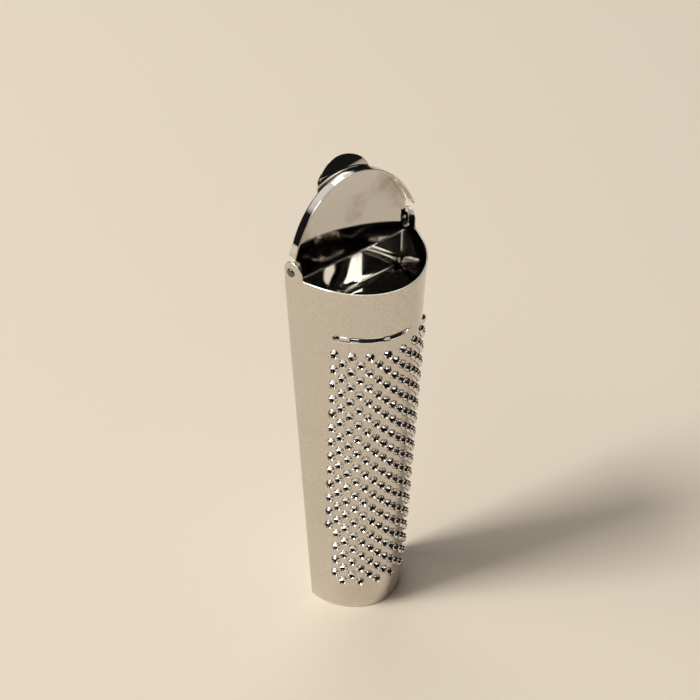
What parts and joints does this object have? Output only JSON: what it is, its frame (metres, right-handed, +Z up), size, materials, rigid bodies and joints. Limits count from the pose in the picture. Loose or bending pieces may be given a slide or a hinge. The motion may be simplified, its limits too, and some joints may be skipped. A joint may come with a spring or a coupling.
{
  "type": "nutmeg grater",
  "caption": "Hand-held half-round tapered grater of polished sheet steel, with a burred front and a lidded box for the nutmeg at its top",
  "frame": {"origin": "middle of the back plate's lower edge, on the surface that the grater stands on, half way through the plate's thickness", "axes": "+Z up along the grater from its narrow open end to the lidded box, +Y to the back, out of the flat back plate, +X to the right seen from the burred front"},
  "size_m": [0.0447, 0.0292, 0.1601],
  "materials": {
    "polished_shell": "polished stainless sheet with fine hairline scratches",
    "polished_plate": "polished stainless sheet",
    "rivet_steel": "plain steel rivet"
  },
  "bodies": {
    "body": {"grating_shell": "polished_shell", "back_plate": "polished_plate", "compartment_floor": "polished_plate", "floor_stud": "rivet_steel", "hinge_rivet_left": "rivet_steel", "hinge_rivet_right": "rivet_steel"},
    "lid": {"lid": "polished_shell", "thumb_tab": "polished_shell"}
  },
  "joints": [
    {"name": "lid_hinge", "type": "hinge", "parent": "body", "child": "lid", "pos_m": [0, -0.0027, 0.131], "axis": [-1, 0, 0], "range_deg": [-93.5, 130]}
  ]
}
